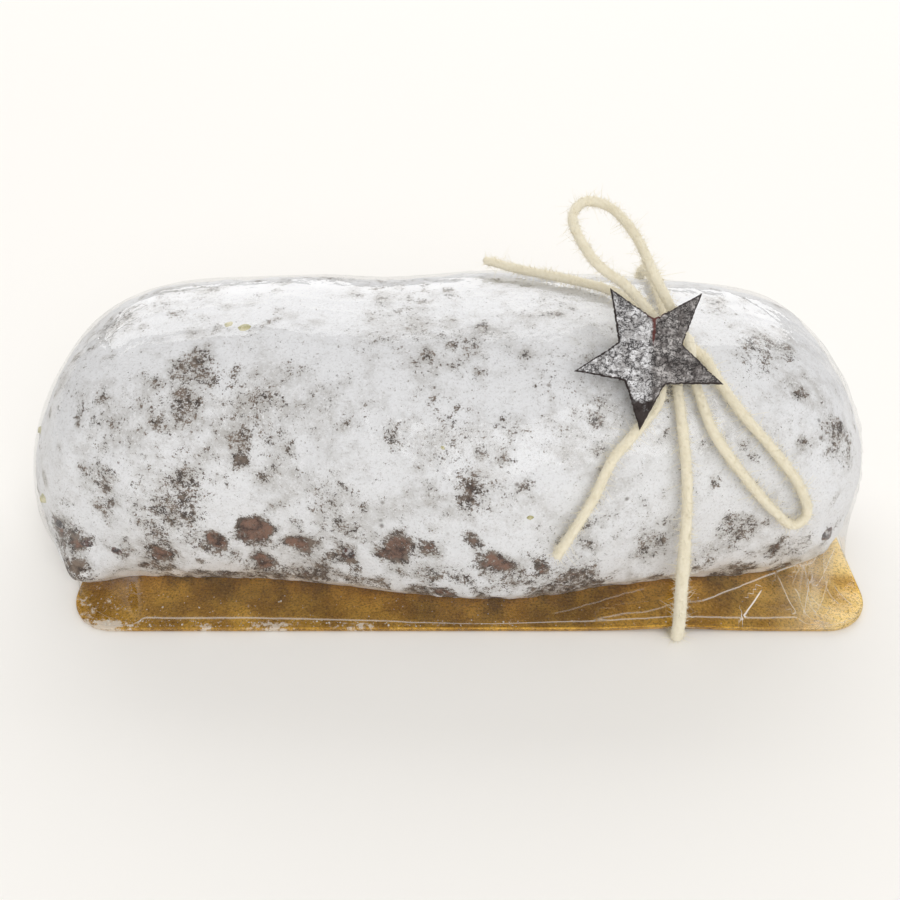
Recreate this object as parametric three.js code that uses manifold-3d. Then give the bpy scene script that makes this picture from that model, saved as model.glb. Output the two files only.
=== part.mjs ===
// A stollen loaf on its gold card, sealed in clear film and tied with a felt cord that carries a
// bark star. Millimetres, +Z up. The loaf's length runs along X and its longer, lower slope faces -Y.
import * as THREE from 'three';
import { mergeVertices } from 'three/addons/utils/BufferGeometryUtils.js';
import Module from 'manifold-3d';

const wasm = await Module();
wasm.setup();

// ---- driving dimensions ----

const GAP = 0.3; // room between pieces that touch

// Loaf, out to the film drawn over it. Its half depths and heights are those at its middle.
const loaf = {
  halfLength: 140.5,
  frontDepth: 50.5,
  backDepth: 56,
  bellyHeight: 18, // where the loaf is widest
  topHeight: 80,
  planPower: 7, // squareness of the ends from above: 2 is an ellipse
  risePower: 5, // and of the ridge's ends from the side
  sidePower: 2.5, // and of the slopes
  bulge: { depth: 10.5, x: 14, width: 46 }, // the front swells here
  lean: { left: 9, right: 4 }, // the ends slope in by this towards the top
  unevenness: 0.01, // share of its size by which the dough rises and dips
};

const card = {
  length: 255,
  depth: 120,
  thickness: 1.6,
  corner: 15,
  x: 7.7, // the loaf doesn't lie centred on it
  y: -3.9,
  lift: 1.3, // the cord under the card bends it up by this
  liftWidth: 16,
};

const cordDiameter = 3.8;
const bandX = 72; // where the cord passes under the card
const bandLow = 0.5; // height of its middle line there
const bandSquashedTo = 1.0; // and its thickness there

const star = {
  tipRadius: 21.9,
  notchRatio: 0.465,
  thickness: 1.6,
  firstTipDegrees: 50,
  leanDegrees: 44, // from lying flat
  centre: [58.8, -31.2, 82.8],
};

const knot = { centre: [67.2, -24.9, 80], radii: [7, 5, 5.4], wrapRadius: 2.1 };

// ---- shapes ----

const gauss = (x, centre, width) => Math.exp(-(((x - centre) / width) ** 2));

// Slow rises and dips of the baked dough, as a factor near 1. angle goes once round a section.
function swell(x, angle) {
  const slow = Math.sin(x / 21 + 0.6) + 0.7 * Math.sin(x / 13 + 2 * angle + 1.9);
  const quick = 0.5 * Math.sin(x / 8 - 3 * angle + 0.4);
  return 1 + loaf.unevenness * (slow + quick);
}

function cardTop(x) {
  return card.thickness + card.lift * gauss(x, bandX, card.liftWidth);
}

// The loaf's section at x, as points round it, from the front foot over the top to the back foot.
function loafSection(x) {
  const along = Math.abs(x / loaf.halfLength);
  const narrow = (1 - along ** loaf.planPower) ** (1 / loaf.sidePower);
  const { bulge, lean } = loaf;
  const front = narrow * (loaf.frontDepth + bulge.depth * gauss(x, bulge.x, bulge.width));
  const back = narrow * loaf.backDepth;
  const rise = (1 - along ** loaf.risePower) ** (1 / loaf.sidePower) * (loaf.topHeight - loaf.bellyHeight);
  const slant = along ** 4 * (x < 0 ? lean.left : -lean.right);
  const points = [];
  const add = (y, z, climbed = 0) => points.push(new THREE.Vector3(x + slant * climbed, y, z));

  // The film goes from the loaf's widest line in or out to a foot just inside the card's edge.
  const foot = footprint(x, narrow);
  const flankSteps = 6;
  for (let i = 0; i < flankSteps; i += 1) {
    const turn = (Math.PI / 2) * (i / flankSteps);
    add(foot.front - (front + foot.front) * Math.sin(turn), foot.z + (loaf.bellyHeight - foot.z) * (1 - Math.cos(turn)));
  }
  const archSteps = 22;
  for (let i = 0; i <= archSteps; i += 1) {
    const turn = Math.PI * (i / archSteps);
    const c = Math.cos(turn);
    const s = Math.sin(turn);
    const size = swell(x, turn);
    const reach = Math.sign(c) * Math.abs(c) ** (2 / loaf.sidePower);
    const height = s ** (2 / loaf.sidePower);
    const z = loaf.bellyHeight + rise * height * size;
    add(-(c > 0 ? front : back) * reach * size, z, (z - loaf.bellyHeight) / (loaf.topHeight - loaf.bellyHeight));
  }
  for (let i = flankSteps - 1; i >= 0; i -= 1) {
    const turn = (Math.PI / 2) * (i / flankSteps);
    add(foot.back + (back - foot.back) * Math.sin(turn), foot.z + (loaf.bellyHeight - foot.z) * (1 - Math.cos(turn)));
  }
  return points;
}

// Where the wrapped loaf meets the card at x. Past the card's ends it is the loaf's own underside, which climbs.
function footprint(x, narrow) {
  const inset = 2;
  const underside = 42;
  const cornerPower = 5;
  const along = (x - card.x) / (card.length / 2 - inset);
  const width = Math.max(1 - Math.abs(along) ** cornerPower, 0) ** (1 / cornerPower);
  const half = Math.max((card.depth / 2 - inset) * width, underside * narrow);
  const past = Math.max(Math.abs(along) - 1, 0) * (card.length / 2);
  const overhang = loaf.halfLength - Math.abs(card.x * Math.sign(along) + card.length / 2);
  const climb = 0.8 * Math.min(past / overhang, 1) ** 3;
  const z = cardTop(x) + GAP + climb * (loaf.bellyHeight - card.thickness - GAP);
  return { front: card.y - half, back: card.y + half, z };
}

// Body through closed rings of equally many points, with flat fans over its two ends.
function loft(rings) {
  const count = rings[0].length;
  const positions = [];
  const index = [];
  rings.flat().forEach((point) => positions.push(...point.toArray()));
  for (let ring = 0; ring + 1 < rings.length; ring += 1) {
    for (let i = 0; i < count; i += 1) {
      const a = ring * count + i;
      const b = ring * count + ((i + 1) % count);
      index.push(a, a + count, b);
      index.push(b, a + count, b + count);
    }
  }
  for (const [start, turned] of [[0, false], [(rings.length - 1) * count, true]]) {
    const middle = new THREE.Vector3();
    rings[start / count].forEach((point) => middle.addScaledVector(point, 1 / count));
    positions.push(...middle.toArray());
    const centre = positions.length / 3 - 1;
    for (let i = 0; i < count; i += 1) {
      const a = start + i;
      const b = start + ((i + 1) % count);
      index.push(centre, turned ? b : a, turned ? a : b);
    }
  }
  const geometry = new THREE.BufferGeometry();
  geometry.setAttribute('position', new THREE.Float32BufferAttribute(positions, 3));
  geometry.setIndex(index);
  return geometry;
}

function wrappedLoaf() {
  const stations = 48;
  const rings = [];
  for (let i = 0; i <= stations; i += 1) {
    const x = -loaf.halfLength * 0.9995 * Math.cos((Math.PI * i) / stations);
    rings.push(loafSection(x));
  }
  return loft(rings);
}

function goldCard() {
  const cornerSteps = 6;
  const middleSteps = 24;
  const half = card.length / 2;
  const straight = half - card.corner;
  const offsets = [];
  for (let i = 0; i <= cornerSteps; i += 1) {
    offsets.push(-straight - card.corner * Math.cos((Math.PI / 2) * (i / cornerSteps)));
  }
  for (let i = 1; i < middleSteps; i += 1) {
    offsets.push(-straight + (2 * straight * i) / middleSteps);
  }
  for (let i = cornerSteps; i >= 0; i -= 1) {
    offsets.push(straight + card.corner * Math.cos((Math.PI / 2) * (i / cornerSteps)));
  }
  const rings = offsets.map((offset) => {
    const inCorner = Math.max(Math.abs(offset) - straight, 0);
    const cut = card.corner - Math.sqrt(Math.max(card.corner ** 2 - inCorner ** 2, 0));
    const width = card.depth / 2 - cut;
    const x = card.x + offset;
    const top = cardTop(x);
    return [
      new THREE.Vector3(x, card.y - width, top - card.thickness),
      new THREE.Vector3(x, card.y - width, top),
      new THREE.Vector3(x, card.y + width, top),
      new THREE.Vector3(x, card.y + width, top - card.thickness),
    ];
  });
  return loft(rings);
}

// Round cord along points, the route is its middle line.
function tube(route, radius, steps) {
  const points = route.map((point) => new THREE.Vector3(...point));
  const path = new THREE.CatmullRomCurve3(points, false, 'centripetal');
  const sides = 8;
  const corners = Array.from({ length: sides }, (_, i) => {
    const turn = (2 * Math.PI * i) / sides;
    return new THREE.Vector2(radius * Math.cos(turn), radius * Math.sin(turn));
  });
  return new THREE.ExtrudeGeometry(new THREE.Shape(corners), { steps, extrudePath: path, bevelEnabled: false });
}

// Presses what lies under the card thin, and leaves the rest as it is.
function squashUnderCard(geometry, radius) {
  const position = geometry.getAttribute('position');
  const low = bandLow - radius;
  const high = bandLow + radius;
  const free = 9;
  for (let i = 0; i < position.count; i += 1) {
    const z = position.getZ(i);
    if (z < high) {
      position.setZ(i, (bandSquashedTo * Math.max(z - low, 0)) / (high - low));
    } else if (z < free) {
      position.setZ(i, bandSquashedTo + ((free - bandSquashedTo) * (z - high)) / (free - high));
    }
  }
  return geometry;
}

const routes = {
  band: [
    [67.2, -27, 77.4],
    [67.4, -33.6, 72.2],
    [68.2, -41.4, 65.8],
    [69.6, -47.6, 56.6],
    [71, -51.8, 45.6],
    [71.5, -55.8, 34],
    [71.8, -60.8, 20],
    [72, -66.6, 4],
    [72, -65.4, bandLow],
    [72, -58, bandLow],
    [72, -30, bandLow],
    [72, 0, bandLow],
    [72, 30, bandLow],
    [72, 49, bandLow],
    [72, 57.6, bandLow],
    [72, 59, 4],
    [72, 58.4, 14],
    [71.6, 57.6, 27],
    [71, 55.8, 41],
    [70.2, 50.8, 55],
    [69.4, 42.8, 66.8],
    [68.6, 33, 74.4],
    [68, 19, 78.8],
    [67.6, 4, 80.4],
    [67.4, -9, 80.1],
    [67.2, -17, 79.2],
    [67.2, -22, 78.4],
  ],
  loopUpper: [
    [65.3, -23.4, 82.8],
    [59.4, -17, 88.4],
    [52.6, -12, 94],
    [45.2, -8, 98],
    [39.5, 1, 103],
    [38.4, 8.6, 106],
    [43, 14.6, 107.6],
    [50, 12.6, 106.6],
    [57, 3, 102],
    [62, -9, 94.5],
    [67.2, -17.2, 87],
    [69.2, -21.6, 82.8],
  ],
  loopLower: [
    [70.5, -29, 78.4],
    [73, -33.4, 72.4],
    [77.6, -42.2, 63.1],
    [87.8, -47.2, 50.6],
    [98.4, -48.8, 38.6],
    [106.2, -48.8, 32],
    [109.8, -47.4, 35.2],
    [105.2, -45.6, 46],
    [95.8, -42.2, 57],
    [86.2, -37.4, 66.4],
    [79.8, -30.8, 73],
    [76, -25.8, 77.4],
    [71.4, -24, 80.6],
  ],
  tailUpper: [
    [63.4, -22, 79.4],
    [62, -12.6, 80.6],
    [58.4, -1.9, 81.5],
    [50.2, 6.6, 82],
    [37, 13.6, 81.9],
    [24.4, 21.2, 80.6],
    [12.4, 27, 81],
  ],
  tailLower: [
    [63, -28.4, 76.4],
    [61.6, -37.4, 70.7],
    [55, -44.2, 65.4],
    [47.8, -50, 59],
    [42.6, -55.4, 48.6],
    [37.2, -58.9, 38.8],
    [32.6, -60.8, 30],
  ],
};

const steps = { band: 76, loopUpper: 15, loopLower: 17, tailUpper: 8, tailLower: 8 };

function cord(name, extra = 0) {
  const radius = cordDiameter / 2 + extra;
  const geometry = tube(routes[name], radius, steps[name]);
  return name === 'band' ? squashUnderCard(geometry, radius) : geometry;
}

// The knot's drum, with one turn of cord round its waist.
function knotSolid(extra = 0) {
  const drum = new THREE.SphereGeometry(1, 20, 12);
  drum.scale(...knot.radii.map((radius) => radius - 0.6 + extra));
  const wrap = new THREE.TorusGeometry(1, 1, 8, 20);
  const ring = wrap.getAttribute('position');
  for (let i = 0; i < ring.count; i += 1) {
    const turn = Math.atan2(ring.getY(i), ring.getX(i));
    const out = Math.hypot(ring.getX(i), ring.getY(i)) - 1;
    const size = knot.wrapRadius + extra;
    const y = (knot.radii[1] - knot.wrapRadius + out * size) * Math.cos(turn);
    const z = (knot.radii[2] - knot.wrapRadius + out * size) * Math.sin(turn);
    ring.setXYZ(i, ring.getZ(i) * size, y, z);
  }
  return solid(drum).add(solid(wrap)).translate(knot.centre);
}

function barkStar() {
  const corners = Array.from({ length: 10 }, (_, i) => {
    const turn = THREE.MathUtils.degToRad(star.firstTipDegrees + 36 * i);
    const radius = star.tipRadius * (i % 2 ? star.notchRatio : 1);
    return new THREE.Vector2(radius * Math.cos(turn), radius * Math.sin(turn));
  });
  const options = { depth: star.thickness, bevelEnabled: false };
  return new THREE.ExtrudeGeometry(new THREE.Shape(corners), options).translate(0, 0, -star.thickness / 2);
}

// ---- solids that are cut clear of each other ----

function solid(geometry) {
  const bare = geometry.clone();
  bare.deleteAttribute('normal');
  bare.deleteAttribute('uv');
  const merged = mergeVertices(bare, 1e-4);
  const vertProperties = new Float32Array(merged.getAttribute('position').array);
  const triVerts = new Uint32Array(merged.index.array);
  return new wasm.Manifold(new wasm.Mesh({ numProp: 3, vertProperties, triVerts }));
}

function geometryOf(body) {
  const { vertProperties, triVerts } = body.getMesh();
  const geometry = new THREE.BufferGeometry();
  geometry.setAttribute('position', new THREE.BufferAttribute(vertProperties, 3));
  geometry.setIndex(new THREE.BufferAttribute(triVerts, 1));
  geometry.computeVertexNormals();
  return geometry;
}

const cordNames = Object.keys(routes);
const knotRoom = knotSolid(GAP);
const pressed = cordNames.map((name) => solid(cord(name, GAP))).concat(knotRoom);
const sliver = 0.03; // cutting leaves no edges or slopes finer than this
const loafSolid = pressed.reduce((body, cutter) => body.subtract(cutter), solid(wrappedLoaf())).simplify(sliver);

// ---- the model ----

const finishes = {
  sugar: { color: 0xe4e2de, roughness: 0.35, metalness: 0 },
  gold: { color: 0xb08a3c, roughness: 0.35, metalness: 0.8 },
  felt: { color: 0xeae2c8, roughness: 0.95, metalness: 0 },
  bark: { color: 0x9a9084, roughness: 0.8, metalness: 0 },
};

function piece(name, geometry, finish) {
  const mesh = new THREE.Mesh(geometry, new THREE.MeshStandardMaterial(finishes[finish]));
  mesh.name = name;
  return mesh;
}

const stollen = new THREE.Group();
const starMesh = piece('bark_star', barkStar(), 'bark');
starMesh.rotation.x = THREE.MathUtils.degToRad(star.leanDegrees);
starMesh.position.set(...star.centre);
const standing = [
  piece('wrapped_loaf', geometryOf(loafSolid), 'sugar'),
  piece('gold_card', goldCard(), 'gold'),
  starMesh,
];
stollen.add(...standing);

const nodeNames = {
  band: 'cord_band',
  loopUpper: 'cord_loop_upper',
  loopLower: 'cord_loop_lower',
  tailUpper: 'cord_tail_upper',
  tailLower: 'cord_tail_lower',
};
for (const name of cordNames) {
  stollen.add(piece(nodeNames[name], geometryOf(solid(cord(name)).subtract(knotRoom)), 'felt'));
}
stollen.add(piece('cord_knot', geometryOf(knotSolid()), 'felt'));

// The origin is under the middle of the loaf, card and star.
const box = new THREE.Box3();
standing.forEach((mesh) => box.expandByObject(mesh));
stollen.position.set(-(box.min.x + box.max.x) / 2, -(box.min.y + box.max.y) / 2, 0);

export default stollen;
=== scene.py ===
"""The looks of a sugar-dusted stollen on a gold card, sealed in clear film and tied with a felt cord.

Shapes are worked out in millimetres in the loaf's own frame, as the construction is: the loaf's middle
is at x = y = 0 and the card's underside at z = 0. metres() turns them into the model's frame.
"""
import math

import bpy
import numpy as np
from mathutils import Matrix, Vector


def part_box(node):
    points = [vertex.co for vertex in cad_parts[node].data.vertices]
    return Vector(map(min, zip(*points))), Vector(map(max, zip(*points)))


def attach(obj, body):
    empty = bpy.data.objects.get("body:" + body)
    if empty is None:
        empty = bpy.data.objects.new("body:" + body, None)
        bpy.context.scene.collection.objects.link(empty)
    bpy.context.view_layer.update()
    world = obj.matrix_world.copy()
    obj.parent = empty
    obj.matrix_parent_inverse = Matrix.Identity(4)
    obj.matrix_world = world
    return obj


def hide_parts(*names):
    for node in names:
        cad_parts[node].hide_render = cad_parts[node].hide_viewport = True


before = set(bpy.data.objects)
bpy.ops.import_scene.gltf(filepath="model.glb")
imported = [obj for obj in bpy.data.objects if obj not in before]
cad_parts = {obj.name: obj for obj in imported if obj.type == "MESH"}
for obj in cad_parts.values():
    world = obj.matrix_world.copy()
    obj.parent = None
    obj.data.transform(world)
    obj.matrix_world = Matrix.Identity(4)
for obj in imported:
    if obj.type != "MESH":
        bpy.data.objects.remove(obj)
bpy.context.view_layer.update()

# ---- driving dimensions, in millimetres, as in the construction ----

HALF_LENGTH = 140.5
FRONT_DEPTH = 50.5
BACK_DEPTH = 56
BELLY_HEIGHT = 18
TOP_HEIGHT = 80
PLAN_POWER = 7
RISE_POWER = 5
SIDE_POWER = 2.5
BULGE_DEPTH, BULGE_X, BULGE_WIDTH = 10.5, 14, 46
LEAN_LEFT, LEAN_RIGHT = 9, 4
UNEVENNESS = 0.01

LOAF_FOOT = 0.8  # the depth of the loaf's flat underside, as a share of its belly's

CARD_LENGTH, CARD_DEPTH, CARD_THICKNESS, CARD_CORNER = 255, 120, 1.6, 15
CARD_X, CARD_Y = 7.7, -3.9
CARD_LIFT, CARD_LIFT_WIDTH, BAND_X = 1.3, 16, 72

CORD_RADIUS = 1.9
BAND_LOW, BAND_SQUASHED_TO = 0.5, 1.0

STAR_CENTRE = (58.8, -31.2, 82.8)
STAR_RADIUS, STAR_NOTCH, STAR_THICKNESS = 21.9, 0.465, 1.6
STAR_FIRST_TIP, STAR_LEAN = math.radians(50), math.radians(44)

KNOT_CENTRE, KNOT_RADII = (67.2, -24.9, 80), (7, 5, 5.4)

# ---- the looks' own dimensions, in millimetres ----

SUGAR_LEAST, SUGAR_MEAN = 0.62, 1.5  # how far the baked surface lies inside the wrapped loaf's solid
FILM_FOOT = 0.78  # as LOAF_FOOT, for the film drawn in under the loaf past the card's ends
FILM_WRINKLE = 0.4
TENT_WIDTH = 24  # the film's width from the card's edge to the loaf, for laying out its creases
CORE, BAND_CORE = 0.78, 0.82  # the felt's solid core as a share of the cord, which takes in its fibres
FIBRE_WIDTH, FIBRES_PER_RING, KNOT_FIBRES_PER_RING = 0.085, 34, 14
STAR_SEAM_SLANT, STAR_SEAM_X = 0.07, 0.2
CRUMB_COUNT = 240

CAMERA_PLACE, CAMERA_PITCH = (1.4, -254.2, 234.2), 50
CAMERA_LENS, CAMERA_SENSOR = 37.68, 36
WORLD_STRENGTH = 0.6
# Name, place, target and size in metres, and energy in watts.
SOFTBOXES = [
    ("back_softbox", (0, 3.9, 2.3), (0, 0, 0.05), (7.5, 3.3), 140),
    ("front_softbox", (0.9, -3.0, 2.6), (0, 0, 0.04), (3.4, 3), 72),
]

card_low, card_high = (np.array(corner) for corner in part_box("gold_card"))
SHIFT = ((card_low + card_high) / 2)[:2] - np.array([CARD_X, CARD_Y]) / 1000

# ---- small helpers ----


def metres(points):
    """Points of the loaf's frame, in millimetres, as points of the model's frame, in metres."""
    moved = np.asarray(points, float) / 1000
    moved[..., :2] += SHIFT
    return moved


def noise(points, size, seed):
    """Smooth noise from -1 to 1 over points, in lumps of about size."""
    cells = points / size
    base = np.floor(cells).astype(np.int64)
    blend = cells - base
    blend = blend * blend * (3 - 2 * blend)
    total = np.zeros(cells.shape[:-1])
    for corner in np.ndindex(2, 2, 2):
        at = base + corner
        mixed = at[..., 0] * 374761393 + at[..., 1] * 668265263 + at[..., 2] * 2147483647 + seed * 144665
        mixed = (mixed ^ (mixed >> 13)) * 1274126177
        value = ((mixed ^ (mixed >> 16)) & 0xFFFF) / 0xFFFF
        total += value * np.prod(np.where(corner, blend, 1 - blend), axis=-1)
    return 2 * total - 1


def fractal(points, size, octaves, seed):
    """Noise with finer noise on top, each half the size and strength of the last."""
    layers = [noise(points, size / 2**i, seed + i) / 2**i for i in range(octaves)]
    return sum(layers) / (2 - 0.5 ** (octaves - 1))


def step(value, low, high):
    """0 below low, 1 above high and smooth between."""
    t = np.clip((value - low) / (high - low), 0, 1)
    return t * t * (3 - 2 * t)


def gauss(distance, width):
    return np.exp(-((distance / width) ** 2))


def new_object(name, data):
    """A new object in the scene."""
    made = bpy.data.objects.new(name, data)
    bpy.context.scene.collection.objects.link(made)
    return made


def mesh_piece(name, vertices, faces, material, slot, replaces=(), smooth=True):
    """A mesh object from millimetre vertices, riding on the one body."""
    mesh = bpy.data.meshes.new(name)
    faces = facing_out(np.asarray(vertices, float), [tuple(int(i) for i in face) for face in faces])
    mesh.from_pydata(metres(vertices).tolist(), [], faces)
    mesh.validate()
    mesh.polygons.foreach_set("use_smooth", [smooth] * len(mesh.polygons))
    mesh.materials.append(material)
    piece = new_object(name, mesh)
    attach(piece, "root")
    if replaces:
        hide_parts(*replaces)
    return piece


def facing_out(vertices, faces):
    """The faces, all turned over if they enclose their volume inside out."""
    centred = vertices - vertices.mean(axis=0)
    volume = 0
    for corners in (3, 4):
        some = np.array([face for face in faces if len(face) == corners])
        for i in range(1, corners - 1 if len(some) else 0):
            a, b, c = (centred[some[:, k]] for k in (0, i, i + 1))
            volume += (a * np.cross(b, c)).sum()
    return faces if volume > 0 else [face[::-1] for face in faces]


def paint(piece, name, values):
    """Stores one number a vertex for the piece's material to read."""
    layer = piece.data.attributes.new(name, "FLOAT", "POINT")
    layer.data.foreach_set("value", np.asarray(values, np.float32))


def sheet(grid, wrap=False):
    """Vertices and faces over a grid of points. wrap joins its last column to its first."""
    rows, columns = grid.shape[:2]
    faces = []
    for row in range(rows - 1):
        for column in range(columns if wrap else columns - 1):
            a = row * columns + column
            b = row * columns + (column + 1) % columns
            faces.append((a, b, b + columns, a + columns))
    return grid.reshape(-1, 3), faces


def normals_of(grid):
    """Unit normals of a grid of points, from its neighbours' differences."""
    along = np.gradient(grid, axis=0)
    across = np.gradient(grid, axis=1)
    normal = np.cross(across, along)
    return normal / np.maximum(np.linalg.norm(normal, axis=2, keepdims=True), 1e-9)


def turned_out(normal, grid):
    """A grid's normals, all turned over if on the whole they point at the middle of its rows."""
    outward = grid - grid.mean(axis=1, keepdims=True)
    return normal * np.sign((normal * outward).sum(axis=2).mean())


def unit(vector):
    return vector / max(np.linalg.norm(vector), 1e-6)


# ---- materials ----


class Nodes:
    """Builds one material's node tree."""

    def __init__(self, name):
        self.material = bpy.data.materials.new(name)
        self.material.use_nodes = True
        self.tree = self.material.node_tree
        self.shader = self.tree.nodes["Principled BSDF"]
        self.place = self.add("ShaderNodeTexCoord").outputs["Object"]

    def add(self, kind, inputs=(), **settings):
        """A new node with its settings, and its inputs linked or set."""
        node = self.tree.nodes.new(kind)
        for key, value in settings.items():
            setattr(node, key, value)
        for key, value in dict(inputs).items():
            self.feed(value, node.inputs[key])
        return node

    def feed(self, value, socket):
        """Links an output socket, or sets a constant. A tuple is an sRGB colour."""
        if isinstance(value, bpy.types.NodeSocket):
            self.tree.links.new(value, socket)
        else:
            socket.default_value = linear(value) if isinstance(value, tuple) else value

    def scaled_place(self, size, stretch=(1, 1, 1)):
        """The object's coordinates in steps of size millimetres, times stretch along each axis."""
        scale = [1000 / (size * share) for share in stretch]
        return self.add("ShaderNodeMapping", {"Vector": self.place, "Scale": scale}).outputs["Vector"]

    def noise(self, size, detail=3, roughness=0.55, stretch=(1, 1, 1)):
        """Noise with lumps of about size millimetres."""
        place = self.scaled_place(size, stretch)
        inputs = {"Vector": place, "Scale": 1, "Detail": detail, "Roughness": roughness}
        return self.add("ShaderNodeTexNoise", inputs).outputs["Fac"]

    def dots(self, spacing):
        """Distance from the nearest of half of a scatter of points, as a share of their spacing."""
        cells = self.add("ShaderNodeTexVoronoi", {"Vector": self.scaled_place(spacing), "Scale": 1})
        chosen = self.add("ShaderNodeSeparateColor", {"Color": cells.outputs["Color"]})
        skipped = self.math("GREATER_THAN", chosen.outputs["Red"], 0.5)
        return self.plus(cells.outputs["Distance"], skipped)

    def math(self, operation, first, second=0.0):
        return self.add("ShaderNodeMath", {0: first, 1: second}, operation=operation).outputs[0]

    def plus(self, first, second):
        return self.math("ADD", first, second)

    def times(self, first, second):
        return self.math("MULTIPLY", first, second)

    def ramp(self, source, low, high, from_value=0.0, to_value=1.0):
        """from_value where source is at low, to_value where it is at high, and smooth between."""
        inputs = {"Value": source, "From Min": low, "From Max": high}
        inputs |= {"To Min": from_value, "To Max": to_value}
        return self.add("ShaderNodeMapRange", inputs, interpolation_type="SMOOTHSTEP").outputs["Result"]

    def mix(self, share, first, second):
        """first where share is 0 and second where it is 1."""
        node = self.add("ShaderNodeMix", {"Factor": share}, data_type="RGBA")
        colours = [socket for socket in node.inputs if socket.type == "RGBA"]
        for socket, value in zip(colours, (first, second)):
            self.feed(value, socket)
        return next(socket for socket in node.outputs if socket.type == "RGBA")

    def attribute(self, name):
        return self.add("ShaderNodeAttribute", attribute_name=name).outputs["Fac"]

    def bump(self, height, distance, strength):
        """The normal over relief of distance millimetres."""
        inputs = {"Height": height, "Distance": distance / 1000, "Strength": strength}
        return self.add("ShaderNodeBump", inputs).outputs["Normal"]

    def finish(self, colour, roughness, metallic=0.0, **sockets):
        """The material, once its shader has these inputs. Their names have _ for a space."""
        sockets.update(Base_Color=colour, Roughness=roughness, Metallic=metallic)
        for name, value in sockets.items():
            self.feed(value, self.shader.inputs[name.replace("_", " ")])
        return self.material


def linear(colour):
    """An sRGB colour in 0 to 255 as the linear colour with alpha that a socket takes."""
    share = np.array(colour) / 255
    return (*np.where(share <= 0.04045, share / 12.92, ((share + 0.055) / 1.055) ** 2.4), 1.0)


def sugar_material():
    """Icing sugar, damp and grey in clouds, speckled with crust where the paint layer bare is high."""
    n = Nodes("sugared_crust")
    bare = n.attribute("bare")
    clumps = n.math("SUBTRACT", n.noise(4, 4, 0.65), 0.5)
    fine = n.noise(1.5, 6, 0.8)
    grain = n.noise(0.5, 2, 0.6)
    clouds = n.noise(13, 4, 0.6)
    clusters = n.ramp(n.dots(8), 0.0, 0.5, 0.54, 0)
    share = n.plus(n.plus(bare, clusters), n.times(clumps, 1.3))
    speck = n.plus(fine, n.times(n.math("SUBTRACT", grain, 0.5), 0.4))
    crusty = n.ramp(n.plus(speck, n.times(share, 0.3)), 0.665, 0.745)
    pits = n.times(n.ramp(n.dots(10), 0.03, 0.11, 1, 0), 0.7)
    damp = n.ramp(n.plus(n.times(share, 0.5), clouds), 0.46, 0.96)
    scoured = n.ramp(n.plus(bare, n.times(clumps, 1.2)), 0.9, 1.1)
    crust = n.mix(n.ramp(n.noise(2.5, 4), 0.35, 0.65), (66, 56, 50), (128, 114, 102))
    baked = n.mix(n.ramp(n.noise(3.4, 6, 0.7), 0.38, 0.6), (60, 42, 36), (136, 102, 85))
    powder = n.mix(damp, (240, 241, 243), (198, 196, 193))
    sugar = n.mix(n.ramp(n.noise(0.9, 3, 0.7), 0.56, 0.64, 0, 0.7), powder, (248, 248, 250))
    grainy = n.mix(n.ramp(n.noise(0.8, 4, 0.8), 0.5, 0.72, 0, 0.5), sugar, (150, 143, 137))
    dusted = n.mix(n.math("MAXIMUM", crusty, pits), grainy, crust)
    through = n.times(scoured, n.ramp(speck, 0.36, 0.5))
    colour = n.mix(through, dusted, baked)
    relief = n.bump(n.plus(fine, n.times(grain, 0.7)), 0.4, 0.6)
    return n.finish(colour, n.ramp(crusty, 0, 1, 0.85, 0.5), Specular_IOR_Level=0.3, Normal=relief)


def film_material():
    """Clear glossy film, ruffled, with white painted highlights on its creases and by the card's right
    corner.
    """
    n = Nodes("clear_film")
    n.tree.nodes.remove(n.shader)
    small = n.plus(n.noise(7, 2, 0.4), n.noise(2.5, 2, 0.4))
    broad = n.times(n.noise(24, 1, 0.4), 3.5)
    ruffled = n.bump(n.plus(small, broad), 0.4, 0.4)
    clear = n.add("ShaderNodeBsdfTransparent", {"Color": [0.985, 0.985, 0.985, 1]})
    gloss = n.add("ShaderNodeBsdfGlossy", {"Roughness": 0.06, "Normal": ruffled})
    # The white layer carries painted highlights: the creases' white lines and the sheen by the card's right
    # corner.
    white = n.add("ShaderNodeBsdfDiffuse", {"Color": (255, 253, 248)})
    fresnel = n.add("ShaderNodeFresnel", {"IOR": 1.5, "Normal": ruffled})
    mirrored = n.times(n.math("SUBTRACT", fresnel.outputs["Fac"], 0.02), 1.7)
    mirrored = n.math("MAXIMUM", n.math("MINIMUM", mirrored, 0.24), 0.0)
    line = n.ramp(n.math("ABSOLUTE", n.attribute("across")), 0.0, 0.26, 1, 0)
    crease = n.times(n.attribute("crease"), line)
    painted_glints = n.math("MAXIMUM", crease, n.attribute("corner_sheen"))
    shader = clear.outputs["BSDF"]
    for share, layer in ((mirrored, gloss), (painted_glints, white)):
        inputs = {0: share, 1: shader, 2: layer.outputs["BSDF"]}
        shader = n.add("ShaderNodeMixShader", inputs).outputs["Shader"]
    n.feed(shader, n.tree.nodes["Material Output"].inputs["Surface"])
    return n.material


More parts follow.
